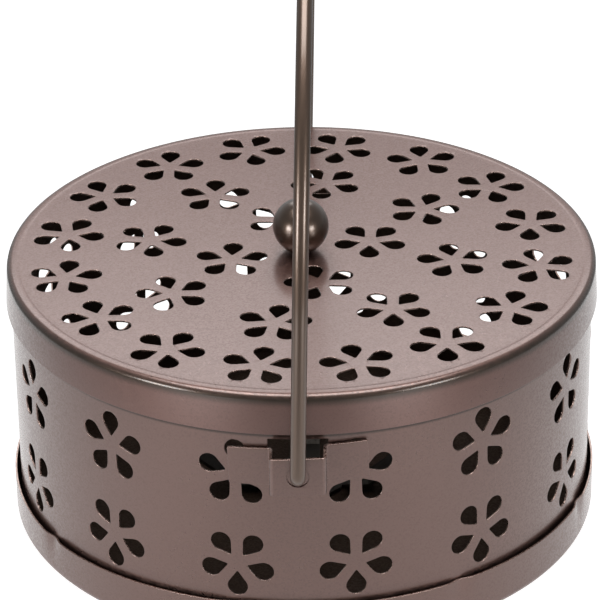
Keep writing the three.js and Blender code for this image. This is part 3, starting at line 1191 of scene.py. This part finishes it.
@dataclass
class Tray:
    """The base tray, whose rim is pinched in against the wall at the crimps.

    Attributes:
        edge_radius: The radius of the bottom edge.
        edge_steps: How many edges its section has.
        boss_radius: The radius of the raised middle.
        boss_rise: How far the middle is raised.
        hole_radius: The radius of the rivet's hole.
        rim_shares: Heights of the points up the rim, as shares of its straight part.
        pinch_depth: How far the rim is pressed in at a crimp.
        pinch_width: The half width of a crimp.
        pinches: The crimps' angles from the front towards +X, each with its share of the depth.
            Each has its like on the opposite side.
        dips: Where the rim runs low, each with its angle, its half width in degrees and its depth.
        steps: How many steps go round the tray.
        metal: The sheet that it is pressed from.
    """

    edge_radius: float = 2.0
    edge_steps: int = 10
    boss_radius: float = 11.0
    boss_rise: float = 1.4
    hole_radius: float = 1.8
    rim_shares: tuple[float, ...] = (0.3, 0.6, 0.8, 1.0)
    pinch_depth: float = 0.88
    pinch_width: float = 2.2
    pinches: tuple[tuple[float, float], ...] = ((-56.5, 1.0), (-13.5, 0.6), (31.5, 1.0), (69.5, 0.9))
    dips: tuple[tuple[float, float, float], ...] = ((-62.0, 30.0, 1.6), (72.0, 24.0, 0.6))
    steps: int = 360
    metal: SheetMetal = SheetMetal()

    def build(self) -> Object:
        """Builds the tray.

        Returns:
            The tray's object.
        """
        high = corners("base_tray")[1]
        bm = bmesh.new()
        pen = Pen(bm, side(self.hole_radius, self.boss_rise), -Y_AXIS)
        pen.line(side(self.boss_radius, self.boss_rise), side(self.boss_radius + self.boss_rise, 0.0))
        pen.line(side(high.x - self.edge_radius, 0.0))
        pen.arc(side(high.x - self.edge_radius, self.edge_radius), 90, self.edge_steps)
        for share in self.rim_shares:
            pen.line(side(high.x, self.edge_radius + share * (high.z - self.edge_radius)))
        turn_profile(bm, self.steps)
        self._shape_rim(bm, high.x, high.z)
        face_away(bm, Z_AXIS * high.z)
        return self.metal.form(Piece("base_tray_pan", Body.CASE, Slot.BRONZE, "base_tray"), bm, BRONZE)

    def _press(self, angle: float, radius: float) -> float:
        """How much of a crimp's depth the rim is pressed in at an angle.

        Args:
            angle: The angle from the front.
            radius: The tray's outside radius.

        Returns:
            The share of the depth.
        """
        press = 0.0
        for centre, share in self.pinches:
            for turned in (centre, centre + 180):
                away = math.radians((angle - turned + 180) % 360 - 180) * radius / self.pinch_width
                press += share * math.exp(-away * away)
        return press

    def _shape_rim(self, bm: Mesh, radius: float, top: float) -> None:
        """Lets the rim run low at the dips and presses it in at the crimps.

        Args:
            bm: The turned tray.
            radius: Its outside radius.
            top: The height of its rim.
        """
        for vert in bm.verts:
            rise = (vert.co.z - self.edge_radius) / (top - self.edge_radius)
            if rise > 0 and vert.co.xy.length >= radius - self.edge_radius:
                angle = math.degrees(math.atan2(vert.co.x, -vert.co.y))
                dip = sum(depth * math.exp(-(((angle - at) / width) ** 2)) for at, width, depth in self.dips)
                scale = 1 - self.pinch_depth * self._press(angle, radius) * rise**2 / radius
                vert.co = (vert.co.x * scale, vert.co.y * scale, vert.co.z - dip * rise)


@dataclass
class Strap:
    """One of the two straps that carry the handle, bent from a flat strip.

    Attributes:
        front: Whether it stands on the side that faces the camera.
        plate_half_width: Half the width of the plate.
        tab_reach: How far the tabs reach to each side.
        seat_gap: The gap between the tabs and the wall.
        bend_radius: The radius of the bends, to the middle of the sheet.
        bend_steps: How many edges a bend has.
        hole_radius: The radius of the pivot hole.
        hole_steps: How many steps go round the hole.
        corner_radius: The rounding of the tabs' corners.
        corner_steps: How many edges a corner has.
        skew: How far the front strap is turned on the wall, in degrees, by a hand spot weld.
        cut_weld: How near to each other the cuts' points are joined.
        metal: The sheet that it is bent from.
    """

    front: bool
    plate_half_width: float = 6.8
    tab_reach: float = 16.8
    seat_gap: float = 0.3
    bend_radius: float = 0.8
    bend_steps: int = 6
    hole_radius: float = 2.65
    hole_steps: int = 40
    corner_radius: float = 0.35
    corner_steps: int = 4
    skew: float = -2.2
    cut_weld: float = 0.02
    metal: SheetMetal = SheetMetal(thickness=0.8, offset=0.0, edge=0.12)

    def _half_line(self, face: float, wall_radius: float) -> list[Vector]:
        """The middle line of the strap's right half, from the plate to the end of the tab.

        Args:
            face: How far from the axis the plate's outside lies.
            wall_radius: The radius of the wall that the tabs lie on.

        Returns:
            The points of the line.
        """
        half_sheet = self.metal.thickness / 2
        seat = wall_radius + self.seat_gap + half_sheet
        leg = self.plate_half_width - half_sheet
        foot_x = leg + self.bend_radius
        foot = Vector((foot_x, math.sqrt(seat**2 - foot_x**2) + self.bend_radius))
        top = Vector((leg - self.bend_radius, face - half_sheet - self.bend_radius))
        begin, end = (math.degrees(math.acos(x / seat)) for x in (foot_x, self.tab_reach))
        line = [Vector((0.0, face - half_sheet))]
        line += arc_points(top, self.bend_radius, 90, 0, self.bend_steps)
        line += arc_points(foot, self.bend_radius, 180, 270, self.bend_steps)
        return line + arc_points(Vector((0.0, 0.0)), seat, begin, end, self.bend_steps)[1:]

    def _draw_strip(self, bm: Mesh, half: float, bottom: float, top: float) -> None:
        """Draws and fills the flat strip, with its rounded corners and its pivot hole.

        Args:
            bm: The mesh to draw in.
            half: Half the strip's length.
            bottom: The height of its lower edge.
            top: The height of its upper edge.
        """
        x, low, high = half - self.corner_radius, bottom + self.corner_radius, top - self.corner_radius
        middles = (flat(x, low), flat(x, high), flat(-x, high), flat(-x, low))
        pen = Pen(bm, middles[0] + polar(self.corner_radius, -90), Z_AXIS)
        pen.arc(middles[0], 90, self.corner_steps)
        for quarter, middle in enumerate(middles[1:]):
            pen.line(middle + polar(self.corner_radius, 90 * quarter))
            pen.arc(middle, 90, self.corner_steps)
        pen.close()
        spot = Matrix.Translation(flat(0.0, (bottom + top) / 2))
        bmesh.ops.create_circle(bm, radius=self.hole_radius, segments=self.hole_steps, matrix=spot)
        fill_outlines(bm)

    def build(self) -> Object:
        """Builds the strap.

        Returns:
            The strap's object.
        """
        node = "front_handle_strap" if self.front else "rear_handle_strap"
        low, high = corners(node)
        face = max(abs(low.y), abs(high.y))
        half = self._half_line(face, corners("case_wall")[1].x)
        path = [Vector((-p.x, p.y)) for p in reversed(half[1:])] + half
        length = sum((after - before).length for before, after in zip(half, half[1:]))
        bm = bmesh.new()
        self._draw_strip(bm, length, low.z, high.z)
        if self.front:
            rotate(bm, self.skew, "Z", Y_AXIS * (low.z + high.z) / 2)
        # The skewed strip's corners reach too far, so it is brought back to the path's length.
        reach = max(vert.co.x for vert in bm.verts)
        bmesh.ops.scale(bm, vec=(length / reach, 1.0, 1.0), verts=bm.verts[:])
        BendPath(path, -length).bend(bm, self.cut_weld)
        if self.front:
            rotate(bm, 180, "Z")
        face_away(bm, ORIGIN)
        piece = Piece(node.replace("handle_", "") + "_bent", Body.CASE, Slot.BRONZE, node)
        return self.metal.form(piece, bm, BRONZE)


# The coil stand and the handle


@dataclass
class CoilStand:
    """The pressed steel cross that holds the coil, and its rivet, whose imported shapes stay.

    Attributes:
        nodes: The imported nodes.
    """

    nodes: tuple[str, ...] = ("coil_stand", "coil_stand_rivet")

    def build(self) -> list[Object]:
        """Gives the stand and its rivet their steel.

        Returns:
            The two objects.
        """
        packed = [bpy.data.objects[node] for node in self.nodes]
        for piece in packed:
            piece.data.materials.clear()
            piece.data.materials.append(STEEL.material())
        return packed


@dataclass
class Handle:
    """The wire handle: two upright legs, a half-round top, and ends bent in through the straps.

    Attributes:
        wire_radius: The radius of the wire.
        elbow_radius: The radius of the bends at the pivots, to the middle of the wire.
        elbow_steps: How many steps an elbow has.
        arch_steps: How many steps the top has.
        leg_height: From the pivots to where the top begins to curve.
        end_gap: The gap between the wire's ends and the wall, were the wire quite central.
        slip: How far the wire's ends have slipped to the front.
        lean: How far the handle leans at rest, in degrees.
        sides: How many sides the wire's section has.
        dome_inset: How much narrower than the wire the front end's flat is.
        dome_rise: How far that flat stands out.
    """

    wire_radius: float = 1.85
    elbow_radius: float = 2.5
    elbow_steps: int = 12
    arch_steps: int = 120
    leg_height: float = 39.0
    end_gap: float = 0.3
    slip: float = 0.3
    lean: float = 1.3
    sides: int = 28
    dome_inset: float = 0.5
    dome_rise: float = 0.3

    def build(self, pivot_height: float) -> Object:
        """Builds the handle, from its flat rear end over the top to its domed front end.

        Args:
            pivot_height: The height of the pivots.

        Returns:
            The handle's object.
        """
        end = corners("case_wall")[1].x + self.end_gap
        elbow = corners("wire_handle")[1].y - self.wire_radius - self.elbow_radius
        elbow_height = pivot_height + self.elbow_radius
        arc_height = pivot_height + self.leg_height
        bm = bmesh.new()
        spot = Vector((0.0, end - self.slip, pivot_height))
        stand = Matrix.Translation(spot) @ Matrix.Rotation(math.pi / 2, 4, "X")
        bmesh.ops.create_circle(bm, cap_ends=True, radius=self.wire_radius, segments=self.sides, matrix=stand)
        section = self._push(bm, bm.edges[:], Y_AXIS * (elbow - end))
        section = self._bend(bm, section, Vector((0.0, elbow, elbow_height)), 90, self.elbow_steps)
        section = self._push(bm, section, Z_AXIS * (arc_height - elbow_height))
        section = self._bend(bm, section, Z_AXIS * arc_height, 180, self.arch_steps)
        section = self._push(bm, section, Z_AXIS * (elbow_height - arc_height))
        section = self._bend(bm, section, Vector((0.0, -elbow, elbow_height)), 90, self.elbow_steps)
        section = self._push(bm, section, Y_AXIS * (elbow - end))
        self._dome(bm, self._push(bm, section, Y_AXIS * self.dome_rise))
        bmesh.ops.recalc_face_normals(bm, faces=bm.faces[:])
        rotate(bm, self.lean, "Y", Z_AXIS * pivot_height)
        return Piece("handle_wire_bent", Body.HANDLE, Slot.DARK_BRONZE, "wire_handle").make(bm, DARK_BRONZE)

    def _push(self, bm: Mesh, section: list, way: Vector) -> list:
        """Extrudes the wire's section straight on.

        Args:
            bm: The mesh.
            section: The edges of the section.
            way: How far and where to.

        Returns:
            The edges of the new section.
        """
        made = bmesh.ops.extrude_edge_only(bm, edges=section)["geom"]
        bmesh.ops.translate(bm, verts=[g for g in made if isinstance(g, bmesh.types.BMVert)], vec=way)
        return [g for g in made if isinstance(g, bmesh.types.BMEdge) and len(g.link_faces) == 1]

    def _bend(self, bm: Mesh, section: list, centre: Vector, degrees: float, steps: int) -> list:
        """Spins the wire's section round a bend.

        Args:
            bm: The mesh.
            section: The edges of the section.
            centre: The middle of the bend.
            degrees: How far the wire turns.
            steps: How many steps the bend has.

        Returns:
            The edges of the new section.
        """
        angle = math.radians(degrees)
        made = bmesh.ops.spin(bm, geom=section, cent=centre, axis=X_AXIS, angle=angle, steps=steps)
        return [g for g in made["geom_last"] if isinstance(g, bmesh.types.BMEdge)]

    def _dome(self, bm: Mesh, section: list) -> None:
        """Narrows the wire's last section and closes it.

        Args:
            bm: The mesh.
            section: The edges of the section.
        """
        verts = list({vert for edge in section for vert in edge.verts})
        centre = sum((vert.co for vert in verts), Vector()) / len(verts)
        share = 1 - self.dome_inset / self.wire_radius
        bmesh.ops.scale(bm, vec=(share, share, share), space=Matrix.Translation(-centre), verts=verts)
        bmesh.ops.edgeloop_fill(bm, edges=section)


# The studio


@dataclass(frozen=True)
class SoftPanel:
    """A soft studio lamp.

    Attributes:
        name: The lamp's name.
        azimuth: Where it hangs, from the camera's side towards +X, in degrees.
        elevation: How high it hangs, in degrees.
        width: Its width, in metres.
        height: Its height, in metres.
        power: Its power, in watts.
        distance: How far from the case it is, in metres.
        gloss_only: Whether it shows in glossy metal but doesn't light the floor.
    """

    name: str
    azimuth: float
    elevation: float
    width: float
    height: float
    power: float
    distance: float = 1.5
    gloss_only: bool = False

    def hang(self, aim: Vector) -> None:
        """Hangs the lamp so that it faces a point.

        Args:
            aim: The point, in metres.
        """
        lamp = bpy.data.lights.new(self.name, "AREA")
        lamp.shape = "RECTANGLE"
        lamp.size = self.width
        lamp.size_y = self.height
        lamp.energy = self.power
        holder = bpy.data.objects.new(self.name, lamp)
        rise = math.radians(self.elevation)
        way = polar(math.cos(rise), self.azimuth + FRONT) + Z_AXIS * math.sin(rise)
        facing = way.to_track_quat("Z", "Y").to_matrix().to_4x4()
        holder.matrix_world = Matrix.Translation(aim + way * self.distance) @ facing
        holder.visible_camera = False
        holder.visible_diffuse = not self.gloss_only
        bpy.context.scene.collection.objects.link(holder)


@dataclass(frozen=True)
class PhotoCamera:
    """The camera's place, found by matching the lid's outline and its flowers.

    Attributes:
        aim_height: The height of the lid's top, which the distances are measured from.
        distance: From the middle of the lid's top to the lens.
        elevation: How high the lens stands over the lid's top, in degrees.
        pitch: How far the camera looks down, in degrees.
        yaw: How far it looks aside, in degrees.
        roll: How far it is tilted, in degrees.
        body_turn: How far the case is turned against the camera, in degrees.
        focal_pixels: The focal length in pixels of the frame.
        frame_pixels: The width of the frame.
        sensor: The sensor's width.
        clip_start: The nearest that it sees, in metres.
        clip_end: The farthest that it sees, in metres.
    """

    aim_height: float = 70.0
    distance: float = 857.004
    elevation: float = 27.256
    pitch: float = 28.102
    yaw: float = -0.034
    roll: float = -0.767
    body_turn: float = 1.05
    focal_pixels: float = 3384.35
    frame_pixels: float = 600.0
    sensor: float = 36.0
    clip_start: float = 0.01
    clip_end: float = 50.0

    def _axes(self) -> Matrix:
        """The camera's right, up and backward directions.

        Returns:
            The directions, as the columns of a matrix.
        """
        pitch, yaw, roll = (math.radians(angle) for angle in (self.pitch, self.yaw, self.roll))
        ahead = Vector((math.sin(yaw) * math.cos(pitch), math.cos(yaw) * math.cos(pitch), -math.sin(pitch)))
        right = Vector((math.cos(yaw), -math.sin(yaw), 0.0))
        up = right.cross(ahead)
        tilted_right = right * math.cos(roll) + up * math.sin(roll)
        tilted_up = up * math.cos(roll) - right * math.sin(roll)
        return Matrix((tilted_right, tilted_up, -ahead)).transposed()

    def place(self) -> None:
        """Puts up the camera and makes it the scene's own."""
        rise = math.radians(self.elevation)
        lens = self.distance * Vector((0.0, -math.cos(rise), math.sin(rise)))
        turn = Matrix.Rotation(math.radians(self.body_turn), 3, "Z")
        spot = (turn @ lens + Z_AXIS * self.aim_height) * MM
        camera = bpy.data.cameras.new("photo camera")
        camera.sensor_width = self.sensor
        camera.lens = self.focal_pixels * self.sensor / self.frame_pixels
        camera.clip_start = self.clip_start
        camera.clip_end = self.clip_end
        holder = bpy.data.objects.new("photo camera", camera)
        holder.matrix_world = Matrix.Translation(spot) @ (turn @ self._axes()).to_4x4()
        bpy.context.scene.collection.objects.link(holder)
        bpy.context.scene.camera = holder


@dataclass(frozen=True)
class Studio:
    """The pale floor with its painted pools of light, the white surroundings and the lamps.

    Attributes:
        panel_aim: The height that the lamps face, in metres.
        floor_radius: The radius of the round floor, in metres.
        floor_steps: How many steps go round it.
        floor_color: Its own colour, which takes the case's shadow.
        floor_glow: How much of the floor's white doesn't take a shadow.
        pool: How far from the case's middle the painted light pool begins and stops fading, in metres.
        pool_gloss: How bright the painted pool shows in gloss, and how bright the floor beyond it.
        side_pool: The middle of the painted patch of light for each side lamp on the floor, in metres.
        side_pool_radius: The radius of that patch.
        side_pool_gloss: How bright it shows in gloss.
        room_light: The plain light from all round.
        room_fade: Where the dark side of the room, behind the camera, ends and where the white
            side starts, as shares of the way to the back.
        room_gloss: How bright the dark side and the white side show in gloss.
        panels: The lamps.
    """

    panel_aim: float = 0.04
    floor_radius: float = 6.0
    floor_steps: int = 96
    floor_color: Color = (0.8, 0.8, 0.8, 1.0)
    floor_glow: float = 0.92
    pool: tuple[float, float] = (0.17, 0.24)
    pool_gloss: tuple[float, float] = (0.76, 0.03)
    side_pool: tuple[float, float] = (0.15, -0.235)
    side_pool_radius: float = 0.12
    side_pool_gloss: float = 2.4
    room_light: float = 0.12
    room_fade: tuple[float, float] = (0.1, 0.75)
    room_gloss: tuple[float, float] = (0.34, 0.5)
    panels: tuple[SoftPanel, ...] = (
        SoftPanel("left panel", -50.0, 6.0, 0.45, 0.35, 6.6),
        SoftPanel("right panel", 46.0, 6.0, 0.45, 0.35, 3.6),
        SoftPanel("left soft box", -50.0, 13.0, 0.4, 0.3, 3.0),
        SoftPanel("right soft box", 48.0, 13.0, 0.4, 0.3, 3.4),
        SoftPanel("top panel", 0.0, 84.0, 1.5, 0.9, 29.0, gloss_only=True),
        SoftPanel("rear panel", 180.0, 40.0, 1.25, 0.6, 5.3),
    )

    def build(self) -> None:
        """Sets up the lamps, the floor and the surroundings."""
        for panel in self.panels:
            panel.hang(Z_AXIS * self.panel_aim)
        self._lay_floor()
        self._make_room()

    def _seen(self, build: NodeBuilder, direct: float, glossy: Socket) -> Socket:
        """How bright something is to the eye and in gloss, and dark otherwise.

        Args:
            build: The node builder.
            direct: Its brightness to the eye.
            glossy: Its brightness in gloss.

        Returns:
            The brightness.
        """
        rays = build.node("ShaderNodeLightPath").outputs
        seen = build.math("MAXIMUM", rays["Is Camera Ray"], rays["Is Transmission Ray"])
        shown = build.math("MULTIPLY", rays["Is Glossy Ray"], glossy)
        return build.math("MAXIMUM", build.math("MULTIPLY", seen, direct), shown)

    def _lay_floor(self) -> None:
        """Lays the floor, which looks white and still takes the case's shadow."""
        bm = bmesh.new()
        bmesh.ops.create_circle(bm, cap_ends=True, radius=self.floor_radius, segments=self.floor_steps)
        mesh = bpy.data.meshes.new("floor")
        bm.to_mesh(mesh)
        bm.free()
        mesh.materials.append(self._floor_material())
        floor = bpy.data.objects.new("floor", mesh)
        bpy.context.scene.collection.objects.link(floor)

    def _floor_material(self) -> bpy.types.Material:
        """The floor's white, which shows in gloss as a painted light pool with two painted patches before it.

        Returns:
            The material.
        """
        material = bpy.data.materials.new("pale floor")
        build = NodeBuilder.emptied(material)
        place = build.node("ShaderNodeTexCoord").outputs["Object"]
        parts = build.node("ShaderNodeSeparateXYZ", {"Vector": place}).outputs
        # A painted pool of light round the case, seen only in gloss.
        pool = build.fade(build.distance(parts["X"], parts["Y"]), self.pool, self.pool_gloss)
        # Two painted patches of light before the case, where the side lamps would light the floor.
        across = build.math("SUBTRACT", build.math("ABSOLUTE", parts["X"]), self.side_pool[0])
        ahead = build.math("SUBTRACT", parts["Y"], self.side_pool[1])
        away = build.distance(across, ahead)
        patches = build.fade(away, (0.0, self.side_pool_radius), (self.side_pool_gloss, 0.0), soft=True)
        strength = self._seen(build, self.floor_glow, build.math("MAXIMUM", pool, patches))
        pale = build.node("ShaderNodeBsdfDiffuse", {"Color": self.floor_color})
        glow = build.node("ShaderNodeEmission", {"Color": WHITE, "Strength": strength})
        both = build.node("ShaderNodeAddShader")
        for socket, shader in zip(both.inputs, (pale, glow)):
            build.feed(socket, shader.outputs[0])
        build.node("ShaderNodeOutputMaterial", {"Surface": both.outputs[0]})
        return material

    def _make_room(self) -> None:
        """Makes the surroundings white to the eye, grey in gloss and a plain soft light otherwise."""
        world = bpy.data.worlds.new("white room")
        build = NodeBuilder.emptied(world)
        way = build.node("ShaderNodeTexCoord").outputs["Generated"]
        depth = build.node("ShaderNodeSeparateXYZ", {"Vector": way}).outputs["Y"]
        seen = self._seen(build, 1.0, build.fade(depth, self.room_fade, self.room_gloss))
        strength = build.math("MAXIMUM", seen, self.room_light)
        room = build.node("ShaderNodeBackground", {"Color": WHITE, "Strength": strength})
        build.node("ShaderNodeOutputWorld", {"Surface": room.outputs[0]})
        bpy.context.scene.world = world


def main() -> None:
    """Loads the frame, builds every piece round it and sets up the studio."""
    logging.basicConfig(level=logging.INFO, format="%(name)s: %(message)s")
    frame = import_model()
    pivot = next(joint for joint in frame["joints"] if joint["name"] == "handle_swing")
    pieces = [Tray().build(), Wall().build()]
    pieces += [Strap(front=True).build(), Strap(front=False, hole_radius=2.2).build()]
    pieces += CoilStand().build()
    pieces.append(Lid().build())
    pieces += Knob().build()
    pieces.append(Handle().build(pivot["pos_m"][2] / MM))
    for piece in pieces:
        LOG.info("built %s, %d faces before its modifiers", piece.name, len(piece.data.polygons))
    Studio().build()
    PhotoCamera().place()
    bpy.context.scene.view_settings.view_transform = "Standard"


if __name__ == "__main__":
    main()
